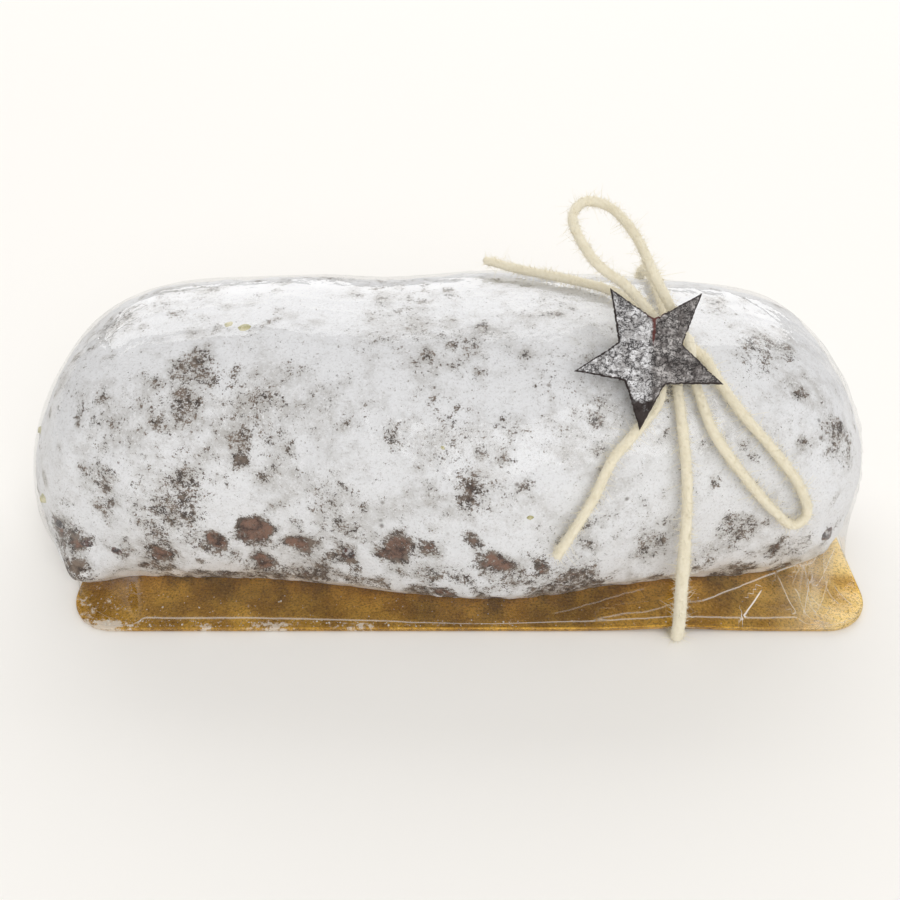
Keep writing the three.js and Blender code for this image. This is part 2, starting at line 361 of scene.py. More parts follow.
def gold_material():
    """Gold-foiled card, mottled, with bright flecks painted as glints and a highlight painted over its
    right end, and sugar where the paint layer dust is high.
    """
    n = Nodes("gold_foil")
    mottle = n.noise(12, 5, 0.65)
    grain = n.noise(0.8, 5, 0.75)
    plain = n.mix(n.ramp(mottle, 0.36, 0.66), (174, 126, 28), (224, 174, 62))
    # Painted highlight: patches over the card's right end lightened towards pale gold.
    gold_and_glare = n.mix(n.attribute("right_end_glare"), plain, (248, 216, 140))
    dark = n.mix(n.ramp(grain, 0.48, 0.62, 0, 0.62), gold_and_glare, (86, 58, 12))
    # Bright flecks painted as the foil's small glints.
    glint_flecked = n.mix(n.ramp(grain, 0.44, 0.32, 0, 0.6), dark, (240, 204, 112))
    dusty = n.plus(n.attribute("dust"), n.times(n.noise(2.4, 6, 0.75), 1.3))
    cover = n.ramp(dusty, 0.9, 1.05, 0, 0.85)
    colour = n.mix(cover, glint_flecked, (232, 222, 208))
    relief = n.bump(n.plus(n.times(mottle, 0.6), grain), 0.12, 0.5)
    roughness = n.ramp(cover, 0, 1, 0.36, 0.9)
    metallic = n.ramp(cover, 0, 1, 0.7, 0.0)
    return n.finish(colour, roughness, metallic, Specular_IOR_Level=0.2, Normal=relief)


def felt_material():
    n = Nodes("cream_felt")
    colour = n.mix(n.noise(0.8, 4, 0.6), (252, 246, 226), (238, 228, 200))
    relief = n.bump(n.noise(0.5, 4, 0.7), 0.35, 0.9)
    sheen = {"Sheen_Weight": 0.5, "Sheen_Roughness": 0.6}
    return n.finish(colour, 1.0, Specular_IOR_Level=0.1, Normal=relief, **sheen)


def bark_material():
    """Birch bark: silvery with dark crackle, and darker where the paint layer side is high. The brown
    inside shows where raw is high, redder where seam is too."""
    n = Nodes("birch_bark")
    flakes = n.noise(2.6, 6, 0.75)
    cracks = n.math("ABSOLUTE", n.math("SUBTRACT", n.noise(5.5, 5, 0.7), 0.5))
    fine_cracks = n.math("ABSOLUTE", n.math("SUBTRACT", n.noise(2.4, 4, 0.75, (1.6, 0.8, 0.8)), 0.5))
    pores = n.ramp(n.noise(0.9, 4, 0.75), 0.56, 0.64)
    light = n.mix(n.ramp(flakes, 0.38, 0.6), (238, 238, 240), (172, 170, 170))
    dark = n.mix(n.ramp(flakes, 0.36, 0.6), (196, 192, 190), (96, 90, 88))
    face = n.mix(n.attribute("side"), light, dark)
    fine_lines = n.ramp(fine_cracks, 0.006, 0.026, 0.9, 0)
    lines = n.math("MAXIMUM", n.ramp(cracks, 0.006, 0.02, 1, 0), fine_lines)
    lined = n.mix(n.math("MAXIMUM", lines, pores), face, (44, 40, 40))
    worn = n.ramp(n.plus(n.attribute("raw"), n.times(flakes, 0.7)), 0.88, 1.1)
    inside = n.mix(n.attribute("seam"), (48, 38, 36), (96, 48, 42))
    colour = n.mix(worn, lined, inside)
    crackle = n.times(n.ramp(cracks, 0.0, 0.04), 0.6)
    relief = n.bump(n.plus(flakes, crackle), 0.5, 0.8)
    return n.finish(colour, 0.6, Specular_IOR_Level=0.4, Normal=relief)


def fruit_material():
    n = Nodes("raisin_skin")
    skin = n.mix(n.ramp(n.noise(2, 3), 0.4, 0.6), (40, 30, 32), (86, 50, 42))
    colour = n.mix(n.ramp(n.noise(1.4, 5, 0.75), 0.5, 0.62, 0, 0.8), skin, (206, 204, 202))
    return n.finish(colour, 0.45, Normal=n.bump(n.noise(0.9, 3), 0.4, 0.8))


def nut_material():
    n = Nodes("chopped_nut")
    colour = n.mix(n.ramp(n.noise(1.5, 3), 0.4, 0.6), (172, 168, 116), (208, 200, 158))
    return n.finish(colour, 0.6)


def crumb_material():
    n = Nodes("sugar_crumb")
    colour = n.mix(n.noise(1.0, 2), (230, 224, 212), (206, 196, 176))
    return n.finish(colour, 0.9)


# ---- the loaf's form ----


def swell(x, turn):
    """Slow rises and dips of the baked dough, as a factor near 1. turn goes once round a section."""
    slow = np.sin(x / 21 + 0.6) + 0.7 * np.sin(x / 13 + 2 * turn + 1.9)
    return 1 + UNEVENNESS * (slow + 0.5 * np.sin(x / 8 - 3 * turn + 0.4))


def half_depths(x):
    """The loaf's depth at x, from its middle line to its front and to its back."""
    narrow = (1 - np.abs(x / HALF_LENGTH) ** PLAN_POWER) ** (1 / SIDE_POWER)
    bulge = BULGE_DEPTH * gauss(x - BULGE_X, BULGE_WIDTH)
    return narrow * (FRONT_DEPTH + bulge), narrow * BACK_DEPTH


def arch_point(x, turn):
    """A point of the upper loaf: turn is 0 at the front belly, pi / 2 on the ridge, pi at the back."""
    front, back = half_depths(x)
    along = np.abs(x / HALF_LENGTH)
    rise = (1 - along**RISE_POWER) ** (1 / SIDE_POWER) * (TOP_HEIGHT - BELLY_HEIGHT)
    size = swell(x, turn)
    c, s = np.cos(turn), np.sin(turn)
    y = -np.where(c > 0, front, back) * np.sign(c) * np.abs(c) ** (2 / SIDE_POWER) * size
    climb = rise * np.clip(s, 0, 1) ** (2 / SIDE_POWER) * size
    slant = along**4 * np.where(x < 0, LEAN_LEFT, -LEAN_RIGHT)
    return np.stack([x + slant * climb / (TOP_HEIGHT - BELLY_HEIGHT), y, BELLY_HEIGHT + climb], axis=-1)


def card_top(x):
    return CARD_THICKNESS + CARD_LIFT * gauss(x - BAND_X, CARD_LIFT_WIDTH)


def card_half(x):
    """The card's half depth at x, with its round corners, and 0 past its ends."""
    reach = np.abs(x - CARD_X)
    into = np.clip(reach - (CARD_LENGTH / 2 - CARD_CORNER), 0, CARD_CORNER)
    cut = CARD_CORNER - np.sqrt(CARD_CORNER**2 - into**2)
    return np.where(reach <= CARD_LENGTH / 2, CARD_DEPTH / 2 - cut, 0)


def past_card_end(x):
    """How far x lies past the card's nearer end, and how far the loaf reaches past that end."""
    overhang = HALF_LENGTH - np.abs(CARD_X * np.sign(x) + CARD_LENGTH / 2)
    return np.abs(x - CARD_X) - CARD_LENGTH / 2, overhang


def underside(x):
    """Height of the loaf's underside: on the card, and climbing past the card's ends."""
    past, overhang = past_card_end(x)
    climb = 0.8 * np.clip(past / overhang, 0, 1) ** 3
    return card_top(x) + 0.3 + climb * (BELLY_HEIGHT - CARD_THICKNESS - 0.3)


# Where the crust shows: x, turn in degrees, size in millimetres and how bare it is. A turn below 0 puts
# the mark under the belly, a quarter of a millimetre down for each degree.
CRUST_MARKS = [
    (-74, 66, 9, 0.62), (-78, 50, 7, 0.7), (-56, 53, 7, 0.6), (-60, 37, 6, 0.72), (-54, 28, 4, 0.5),
    (-105, 25, 7, 0.5), (-80, 23, 8, 0.62), (-105, 13, 4, 0.6), (-82, 13, 10, 0.66), (-90, 6, 7, 0.6),
    (-12, 44, 6, 0.42), (-6, 58, 5, 0.3), (7, 76, 13, 0.36), (32, 66, 5, 0.3), (22, 48, 7, 0.36),
    (9, 29, 8, 0.78), (10, 18, 3, 0.66), (-36, 19, 10, 0.44), (-23, 9, 5, 0.5), (30, 2, 5, 0.8),
    (62, 5, 8, 0.6), (72, 30, 4, 0.4), (48, 17, 4, 0.36), (90, 8, 7, 0.66), (99, 77, 12, 0.5),
    (108, 61, 5, 0.46), (124, 42, 9, 0.6), (103, 1, 4, 0.8), (-105, 92, 8, 0.5), (-119, 82, 5, 0.4),
    (88, 97, 7, 0.4), (-43, 68, 4, 0.4), (-58, 82, 4, 0.3), (44, 40, 4, 0.3),
    (-72, 3, 5, 1.15), (-59, 6, 6, 1.25), (-57, -4, 5, 1.1), (-46, 4, 6, 1.05), (-16, 6, 7, 1.1),
    (-6, 8, 4, 1.05), (14, 5, 7, 1.15),
    (-95, -22, 4, 0.9), (-42, -28, 6, 0.95), (-2, -34, 5, 0.9), (30, -28, 4, 0.8), (-114, -18, 4, 0.8),
    (52, -20, 4, 0.6), (80, -24, 4, 0.6), (-64, -30, 4, 0.7), (8, 12, 4, 0.8), (-30, 9, 5, 0.7),
    (-90, 1, 6, 1.1), (-34, 1, 5, 1.0), (-114, 1, 5, 0.9), (-102, 2, 4, 0.8), (-123, 2, 6, 0.95),
]


def bareness(points):
    """How thin the sugar is at each point, from 0 to about 1.4: at the marks, and by chance elsewhere."""
    x, y, z = (points[..., axis] for axis in range(3))
    wander = np.stack([fractal(points, 11, 4, seed) for seed in (11, 15, 19)], axis=-1)
    wandered = points + 7 * wander
    marked = np.zeros(points.shape[:-1])
    for mark_x, turn, size, strength in CRUST_MARKS:
        centre = arch_point(mark_x, math.radians(max(turn, 0))) + [0, 0, 0.25 * min(turn, 0)]
        distance = np.linalg.norm(wandered - centre, axis=-1)
        marked = np.maximum(marked, 1.15 * strength * np.exp(-((distance / size) ** 3)))
    behind = step(y, 12, 30)
    chance = step(fractal(points, 26, 3, 5), 0.12, 0.5) * step(fractal(points, 9, 2, 8), -0.1, 0.4)
    rubbed = step(BELLY_HEIGHT + 11 - z, 0, 10) * step(fractal(points, 11, 3, 21), -0.25, 0.35)
    rubbed *= (1 - 0.45 * step(x, 40, 70)) * (0.82 + 0.31 * behind)
    grubby = step(BELLY_HEIGHT - 1 - z, 0, 6) * step(fractal(points, 8, 3, 23), -0.15, 0.4)
    scattered = 0.17 + 0.5 * fractal(points, 17, 3, 31) - 0.25 * step(x, 60, 80)
    return np.maximum.reduce([marked, behind * 0.8 * chance, rubbed, scattered, 0.85 * grubby])


def stations(count):
    """x at count places along the loaf, closer together towards its ends."""
    return -HALF_LENGTH * 0.9995 * np.cos(np.linspace(0, math.pi, count))


def loaf_grid(x, arch_steps, flank_steps, base_steps):
    """Points over the loaf, a ring of its section at each x, from the front foot over the top."""
    front, back = half_depths(x)
    floor = underside(x)
    climbs = np.linspace(0, math.pi / 2, flank_steps, endpoint=False)
    drops = np.linspace(math.pi / 2, 0, flank_steps, endpoint=False)
    rings = [flank_ring(x, -front, swell(x, 0), floor, t) for t in climbs]
    rings += [arch_point(x, turn) for turn in np.linspace(0, math.pi, arch_steps)]
    rings += [flank_ring(x, back, swell(x, math.pi), floor, t) for t in drops]
    for share in np.linspace(0, 1, base_steps + 2)[1:-1]:
        rings.append(np.stack([x, LOAF_FOOT * (back - share * (front + back)), floor], axis=-1))
    return np.stack(rings, axis=1)


def flank_ring(x, depth, size, floor, t):
    """Points along the loaf between its foot, at t = 0, and its belly, at t = pi / 2."""
    y = depth * (LOAF_FOOT + (1 - LOAF_FOOT) * math.sin(t)) * (1 + (size - 1) * math.sin(t))
    return np.stack([x, y, floor + (BELLY_HEIGHT - floor) * (1 - math.cos(t))], axis=-1)


def closed_tube(grid):
    """Vertices and faces over a grid whose columns wrap, with a fan over each end."""
    rows, columns = grid.shape[:2]
    vertices, faces = sheet(grid, wrap=True)
    vertices = list(vertices)
    for row in (0, rows - 1):
        ring = [row * columns + column for column in range(columns)]
        centre = len(vertices)
        vertices.append(np.mean([vertices[i] for i in ring], axis=0))
        for i in range(columns):
            pair = (ring[i], ring[(i + 1) % columns])
            faces.append((centre, *(pair if row else pair[::-1])))
    return np.array(vertices), faces


def ring_normals(grid):
    """Normals of a grid that wraps across its columns, pointing out."""
    padded = np.concatenate([grid[:, -1:], grid, grid[:, :1]], axis=1)
    return turned_out(normals_of(padded)[:, 1:-1], grid)


def make_loaf():
    """The baked loaf inside the film, with its lumps and crust, pressed onto the card."""
    grid = loaf_grid(stations(380), arch_steps=190, flank_steps=16, base_steps=14)
    normal = ring_normals(grid)
    bare = bareness(grid)
    lumps = 0.9 * fractal(grid, 17, 2, 1) + 0.5 * noise(grid, 6, 3)
    ragged = 1.1 * step(20 - grid[..., 2], 0, 8) * fractal(grid, 8, 2, 6)
    crumb = 0.32 * noise(grid, 2.6, 4) + ragged
    sunk = 0.55 * np.clip(bare - 0.3, 0, 0.9)
    relief = np.clip(-SUGAR_MEAN + lumps + crumb - sunk, -4, -SUGAR_LEAST)
    taper = step(HALF_LENGTH - np.abs(grid[..., 0]), 0, 4)
    above_base = grid[..., 2] - underside(grid[..., 0])
    grid = grid + normal * (relief * taper - SUGAR_LEAST * (1 - taper))[..., None]
    grid = grid + knob(grid)
    past_card = step(np.abs(grid[..., 0] - CARD_X), CARD_LENGTH / 2, CARD_LENGTH / 2 + 2)
    grid[..., 2] = np.maximum(grid[..., 2], underside(grid[..., 0]) - 1.2 * past_card)
    pressed = (1 - step(above_base, 0, 3)) * (1 - past_card)
    grid[..., 2] += pressed * (card_top(grid[..., 0]) + 0.05 - grid[..., 2])
    piece = mesh_piece("stollen_loaf", *closed_tube(grid), sugar_material(), "sugar", ["wrapped_loaf"])
    paint(piece, "bare", np.concatenate([bare.ravel(), [0.3, 0.3]]))


def knob(points):
    """Dough that bulges out low at the front left corner, as an offset in millimetres."""
    reach = gauss(np.linalg.norm(points - np.array([-117, -40, 8]), axis=-1), 11)
    return reach[..., None] * np.array([-2.0, -8.0, -2.0])


# ---- film ----


# Creases over the card's front: x and share of the way from the card's edge to the loaf, at each of the
# crease's ends, and how white its painted highlight is.
FILM_CREASES = [
    (-108, 0.07, 10, 0.055, 0.3), (10, 0.055, 128, 0.07, 0.3), (126, 0.92, 119, 0.62, 0.35),
    (119, 0.62, 110, 0.42, 0.4), (110, 0.42, 79, 0.18, 0.35), (79, 0.18, 48, 0.08, 0.2),
    (96.6, 0.21, 92.4, 0.08, 0.8), (116.7, 0.62, 112.8, 0.17, 0.45), (115, 0.5, 122.3, 0.37, 0.35),
    (113.5, 0.5, 119, 0.2, 0.4), (118, 0.8, 108, 0.3, 0.25), (124, 0.7, 117, 0.25, 0.3),
    (109, 0.24, 121, 0.1, 0.35), (103, 0.3, 109, 0.12, 0.3), (121, 0.85, 126, 0.4, 0.3),
    (60, 0.3, 34, 0.16, 0.12), (-116, 0.5, -104, 0.2, 0.2), (127, 0.6, 130, 0.25, 0.3),
]


def make_film():
    """The film: tight over the loaf and straight out to the card's edges, but lower near the card's ends,
    and drawn in round the loaf past them."""
    tent_steps = 38
    x = stations(430)
    arch = np.stack([arch_point(x, turn) for turn in np.linspace(0, math.pi, 150)], axis=1)
    arch = arch + knob(arch)
    past, overhang = past_card_end(x)
    off = step(past, -2, 0.3 * overhang)
    hug = step(past, -26, -6)
    front, back = half_depths(x)
    half = card_half(np.clip(x, CARD_X - CARD_LENGTH / 2, CARD_X + CARD_LENGTH / 2))
    edge_z = (1 - off) * (card_top(x) + 0.15) + off * (underside(x) - 0.1)
    edge_front = (1 - off) * (CARD_Y - half - 0.2) - off * FILM_FOOT * front
    edge_back = (1 - off) * (CARD_Y + half + 0.2) + off * FILM_FOOT * back
    loose = step(past, -3, -2)
    hem_z = (1 - loose) * 0.12 + loose * (edge_z - 0.08)
    grid = []
    for i, section in enumerate(arch):
        front_low = np.array([x[i], edge_front[i], edge_z[i]])
        back_low = np.array([x[i], edge_back[i], edge_z[i]])
        start = int((1 - hug[i]) * tangent(section, front_low, 1))
        end = len(section) - 1 - int((1 - hug[i]) * tangent(section[::-1], back_low, -1))
        top = resample(section[start : end + 1], len(section))
        front_tent = draped(front_low, top[0], tent_steps, hug[i], off[i])
        back_tent = draped(back_low, top[-1], tent_steps, hug[i], off[i])[::-1]
        hems = [[[x[i], y, hem_z[i]]] for y in (edge_front[i] + 0.1, edge_back[i] - 0.1)]
        grid.append(np.concatenate([hems[0], front_tent, top, back_tent, hems[1]]))
    grid = np.array(grid)
    inner = np.ones(grid.shape[1])
    inner[[0, 1, -2, -1]] = 0
    sunk = 0.1 + (1 - film_folds(grid)) * inner * FILM_WRINKLE
    grid = grid - turned_out(normals_of(grid), grid) * sunk[..., None]
    lowest = np.where(past < 0, card_top(x) + 0.05, 0.1)
    grid[:, 1:-1, 2] = np.maximum(grid[:, 1:-1, 2], lowest[:, None])
    piece = mesh_piece("clear_film", *sheet(grid), film_material(), "film", ["wrapped_loaf"])
    share = np.full(grid.shape[1], -9.0)
    share[1 : tent_steps + 1] = np.linspace(0, 1, tent_steps, endpoint=False)
    # The creases' painted highlights and the corner's painted sheen, stored as vertex layers.
    for name, values in zip(("crease", "across", "corner_sheen"), film_creases(grid, share)):
        paint(piece, name, values.ravel())


def film_creases(grid, share):
    """How white the painted highlight on the nearest crease is, how many millimetres off it lies, and how
    white the painted sheen by the card's right corner makes the film apart from it. share is how far up the
    front tent each column of the grid lies, or -9 off the tent."""
    x = grid[..., 0]
    share = np.ones_like(x) * share
    flat = np.stack([x, TENT_WIDTH * share], axis=-1)
    wobble = 0.8 * np.stack([noise(grid, 9, 71), noise(grid, 9, 72)], axis=-1)
    fade, reach = 1.5, 3.0
    crease, across = np.zeros_like(x), np.full(x.shape, reach)
    for x0, s0, x1, s1, strength in FILM_CREASES:
        start, end = np.array([x0, TENT_WIDTH * s0]), np.array([x1, TENT_WIDTH * s1])
        length = np.linalg.norm(end - start)
        heading = (end - start) / length
        offset = flat + wobble * min(1, 14 / length) - start
        sideways = offset @ np.array([-heading[1], heading[0]])
        past = np.maximum(np.abs(offset @ heading - length / 2) - length / 2, 0)
        near = (np.abs(sideways) < np.abs(across)) & (past < fade)
        across = np.where(near, sideways, across)
        whiteness = strength * (1 - step(past, 0, fade)) * (np.abs(sideways) < 2)
        crease = np.where(near, whiteness, crease)
    # A patchy whitish sheen painted over the front tent by the card's right corner: a painted highlight.
    patchy = step(fractal(grid, 7, 3, 73), -0.4, 0.5)
    corner = gauss(x - 117, 10) * (share > -1) * step(0.9 - share, 0, 0.4) * patchy
    return crease, across, 0.14 * corner


def tangent(section, edge, side):
    """Which point of the section a tight film from the card's edge touches first."""
    angle = np.arctan2(section[:, 2] - edge[2], side * (section[:, 1] - edge[1]))
    return int(np.argmax(angle[: len(section) // 2]))


def resample(points, count):
    """The same polyline with count points at even steps."""
    lengths = np.concatenate([[0], np.cumsum(np.linalg.norm(np.diff(points, axis=0), axis=1))])
    at = np.linspace(0, lengths[-1], count)
    return np.stack([np.interp(at, lengths, points[:, axis]) for axis in range(3)], axis=1)


def draped(start, end, count, hug, off):
    """Film from the card's edge to the loaf: straight, but level at first by hug and round by off."""
    share = np.linspace(0, 1, count, endpoint=False)
    out = (1 - off) * share + off * np.sin(share * math.pi / 2)
    up = (1 - off) * share ** (1 + 5 * hug) + off * (1 - np.cos(share * math.pi / 2))
    return start + np.stack([share, out, up], axis=1) * (end - start)


def film_folds(grid):
    """Where the film's wrinkles stand, from 0 between them to 1 on them."""
    x, z = grid[..., 0], grid[..., 2]
    around = np.linspace(0, 1, x.shape[1]) * np.ones_like(x)
    flat = np.stack([x, around * 260, np.zeros_like(x)], axis=-1)
    long_creases = ridge(flat * np.array([0.09, 1, 1]), 7, 40)
    skew = flat + flat[..., 1:2] * np.array([0.5, 0, 0])
    cross_creases = ridge(skew * np.array([1, 0.16, 1]), 9, 44)
    at_end = step(np.abs(x), HALF_LENGTH - 45, HALF_LENGTH - 8)
    pleats = ridge(flat * np.array([0.12, 1, 1]), 4.2, 47)
    on_tent = step(26 - z, 0, 10)
    tent_creases = ridge(skew * np.array([1, 0.3, 1]), 12, 50)
    wrinkles = 0.6 * long_creases + 0.4 * cross_creases + at_end * pleats
    calm = 1 - 0.75 * step(-x, HALF_LENGTH - 34, HALF_LENGTH - 14)
    return np.clip(calm * wrinkles * (1 - on_tent) + 0.5 * on_tent * tent_creases, 0, 1)


def ridge(points, size, seed):
    """Thin raised lines between the lumps of a noise, from 0 to 1."""
    return np.clip(1 - np.abs(noise(points, size, seed)) * 6, 0, 1) ** 1.5


# ---- card ----


def make_card():
    """The gold card with a softly rounded rim, bent up where the cord passes under it."""
    outline = card_outline(corner_steps=14, side_steps=90)
    centre = np.array([CARD_X, CARD_Y])
    shares = [0.0, 0.25, 0.5, 0.72, 0.8, 0.86, 0.9, 0.93, 0.95, 0.965, 0.98, 0.99]
    bevel, soft = 0.35, 0.35 * 0.3
    rim = [(bevel, CARD_THICKNESS), (soft, CARD_THICKNESS - soft), (0, CARD_THICKNESS - bevel),
           (0, bevel), (soft, soft), (bevel, 0)]
    reach = np.linalg.norm(outline - centre, axis=1, keepdims=True)
    rings = [(centre + share * (outline - centre), CARD_THICKNESS) for share in shares]
    rings += [(outline - inset * (outline - centre) / reach, height) for inset, height in rim]
    rings += [(centre + share * (outline - centre), 0.0) for share in shares[::-1]]
    grid = []
    for ring, height in rings:
        lift = card_top(ring[:, 0]) - CARD_THICKNESS
        grid.append(np.column_stack([ring, height + lift]))
    points, faces = sheet(np.array(grid), wrap=True)
    piece = mesh_piece("cake_card", points, faces, gold_material(), "gold_card", ["gold_card"])
    x, y = points[:, 0], points[:, 1]
    left = step(-x, -60, 80)
    from_front = y - (CARD_Y - CARD_DEPTH / 2)
    clumped = step(fractal(points, 14, 2, 97), -0.3, 0.3)
    # Painted highlight: patches over the card's right end, stored for the gold material.
    paint(piece, "right_end_glare", step(x, 86, 124) * step(fractal(points, 9, 3, 95), -0.7, 0.3))
    corner_dust = 0.16 * gauss(np.linalg.norm(points[:, :2] - [-114, -58], axis=1), 15)
    rim_dust = (0.05 + 0.26 * left * clumped) * step(4.2 - from_front, 0, 3)
    paint(piece, "dust", np.minimum(rim_dust + corner_dust, 0.34) + 0.06 * left + 0.02)


def card_outline(corner_steps, side_steps):
    """The card's outline, once round, as points in its plane."""
    half = np.array([CARD_LENGTH / 2 - CARD_CORNER, CARD_DEPTH / 2 - CARD_CORNER])
    corners = [half * side for side in ((1, 1), (-1, 1), (-1, -1), (1, -1))]
    points = []
    for i, corner in enumerate(corners):
        start = i * math.pi / 2
        end = start + math.pi / 2
        points += [corner + card_corner(turn) for turn in np.linspace(start, end, corner_steps)]
        last, following = points[-1], corners[(i + 1) % 4] + card_corner(end)
        for share in np.linspace(0, 1, side_steps + 2)[1:-1]:
            points.append(last + share * (following - last))
    return np.array(points) + np.array([CARD_X, CARD_Y])


def card_corner(turn):
    return CARD_CORNER * np.array([math.cos(turn), math.sin(turn)])


# ---- cords ----

ROUTES = {
    "band": [
        (67.2, -27, 77.4), (67.4, -33.6, 72.2), (68.2, -41.4, 65.8), (69.6, -47.6, 56.6),
        (71, -51.8, 45.6), (71.5, -55.8, 34), (71.8, -60.8, 20), (72, -66.6, 4), (72, -65.4, BAND_LOW),
        (72, -58, BAND_LOW), (72, -30, BAND_LOW), (72, 0, BAND_LOW), (72, 30, BAND_LOW),
        (72, 49, BAND_LOW), (72, 57.6, BAND_LOW), (72, 59, 4), (72, 58.4, 14), (71.6, 57.6, 27),
        (71, 55.8, 41), (70.2, 50.8, 55), (69.4, 42.8, 66.8), (68.6, 33, 74.4), (68, 19, 78.8),
        (67.6, 4, 80.4), (67.4, -9, 80.1), (67.2, -17, 79.2), (67.2, -22, 78.4),
    ],
    "loop_upper": [
        (65.3, -23.4, 82.8), (59.4, -17, 88.4), (52.6, -12, 94), (45.2, -8, 98), (39.5, 1, 103),
        (38.4, 8.6, 106), (43, 14.6, 107.6), (50, 12.6, 106.6), (57, 3, 102), (62, -9, 94.5),
        (67.2, -17.2, 87), (69.2, -21.6, 82.8),
    ],
    "loop_lower": [
        (70.5, -29, 78.4), (73, -33.4, 72.4), (77.6, -42.2, 63.1), (87.8, -47.2, 50.6),
        (98.4, -48.8, 38.6), (106.2, -48.8, 32), (109.8, -47.4, 35.2), (105.2, -45.6, 46),
        (95.8, -42.2, 57), (86.2, -37.4, 66.4), (79.8, -30.8, 73), (76, -25.8, 77.4), (71.4, -24, 80.6),
    ],
    "tail_upper": [
        (63.4, -22, 79.4), (62, -12.6, 80.6), (58.4, -1.9, 81.5), (50.2, 6.6, 82), (37, 13.6, 81.9),
        (24.4, 21.2, 80.6), (12.4, 27, 81),
    ],
    "tail_lower": [
        (63, -28.4, 76.4), (61.6, -37.4, 70.7), (55, -44.2, 65.4), (47.8, -50, 59),
        (42.6, -55.4, 48.6), (37.2, -58.9, 38.8), (32.6, -60.8, 30),
    ],
}


def smooth_route(route, spacing):
    """The centripetal Catmull-Rom curve through the route's points, at even spacing."""
    points = np.array(route, float)
    points = np.vstack([2 * points[0] - points[1], points, 2 * points[-1] - points[-2]])
    line = []
    for four in zip(points, points[1:], points[2:], points[3:]):
        spans = [np.linalg.norm(q - p) ** 0.5 for p, q in zip(four, four[1:])]
        knots = np.concatenate([[0], np.cumsum(spans)])
        for t in np.linspace(knots[1], knots[2], 24, endpoint=False):
            first = [blend(four[i], four[i + 1], knots[i], knots[i + 1], t) for i in range(3)]
            second = [blend(first[i], first[i + 1], knots[i], knots[i + 2], t) for i in range(2)]
            line.append(blend(second[0], second[1], knots[1], knots[2], t))
    line.append(points[-2])
    line = np.array(line)
    length = np.linalg.norm(np.diff(line, axis=0), axis=1).sum()
    return resample(line, max(int(length / spacing), 8))


def blend(first, second, start, end, t):
    return first + (second - first) * (t - start) / (end - start)


def frames_along(line):
    """A side and an up direction at each point, turning as little as they can."""
    tangents = np.gradient(line, axis=0)
    tangents /= np.linalg.norm(tangents, axis=1, keepdims=True)
    side = np.cross(tangents[0], [0.1, 0.2, 1.0])
    sides = []
    for direction in tangents:
        side = side - np.dot(side, direction) * direction
        side = side / np.linalg.norm(side)
        sides.append(side)
    return np.array(sides), np.cross(tangents, sides)


def felt_tube(line, radius):
    """A grid of points round line: a soft cord, lumpy and with slightly rounded ends."""
    side, up = frames_along(line)
    turns = np.linspace(0, 2 * math.pi, 18, endpoint=False)
    ring = np.cos(turns)[None, :, None] * side[:, None] + np.sin(turns)[None, :, None] * up[:, None]
    along = np.arange(len(line)) * np.linalg.norm(line[1] - line[0])
    ends = np.minimum(along, along[::-1])
    radius = radius * np.ones(len(line))
    rounding = np.sqrt(np.clip(1 - (1 - np.clip(ends / (0.7 * radius), 0, 1)) ** 2, 0.05, 1))
    fine_lumps = 0.09 * fractal(line[:, None] + radius[:, None, None] * ring, 3.4, 3, 60)
    lumps = 1 + fine_lumps + 0.07 * noise(line, 9, 63)[:, None]
    size = 0.965 * (radius * rounding)[:, None] * lumps
    return line[:, None] + ring * size[..., None]


def squash_under_card(points):
    """The band's points, with what lies under the card pressed thin."""
    low, high, free = BAND_LOW - CORD_RADIUS, BAND_LOW + CORD_RADIUS, 9
    z = points[..., 2]
    under = BAND_SQUASHED_TO * np.maximum(z - low, 0) / (high - low)
    above = BAND_SQUASHED_TO + (free - BAND_SQUASHED_TO) * (z - high) / (free - high)
    squashed = points.copy()
    squashed[..., 2] = np.where(z < high, under, np.where(z < free, above, z))
    return squashed


def fuzz_on(grid, per_ring, seed):
    """Fine wool fibres standing off a cord, each a bent ribbon: vertices and faces."""
    rng = np.random.default_rng(seed)
    rows, columns = grid.shape[:2]
    centres = grid.mean(axis=1)
    tangents = np.gradient(centres, axis=0)
    tangents /= np.linalg.norm(tangents, axis=1, keepdims=True)
    vertices, faces = [], []
    for row in range(1, rows - 1):
        for _ in range(per_ring):
            root = grid[row, rng.integers(columns)]
            out = unit(root - centres[row])
            lean = rng.normal(0, 1.0, 3) + tangents[row] * rng.normal(0, 1.2)
            heading = unit(out * rng.uniform(0.15, 0.8) + 0.8 * lean / np.linalg.norm(lean))
            bend = rng.normal(0, 1.0, 3)
            length = 0.5 + min(rng.exponential(0.6), 1.8)
            width = FIBRE_WIDTH * unit(np.cross(heading, out + 0.3 * rng.normal(0, 1, 3)))
            start = len(vertices)
            for share in (0.0, 0.5, 1.0):
                spot = root - 0.1 * out + length * share * heading + bend * (length * share) ** 2 * 0.35
                spot[2] = max(spot[2], 0.02)
                half = width * (1 - 0.7 * share)
                vertices.extend([spot - half, spot + half])
            faces.extend((a, a + 1, a + 3, a + 2) for a in (start, start + 2))
    return vertices, faces


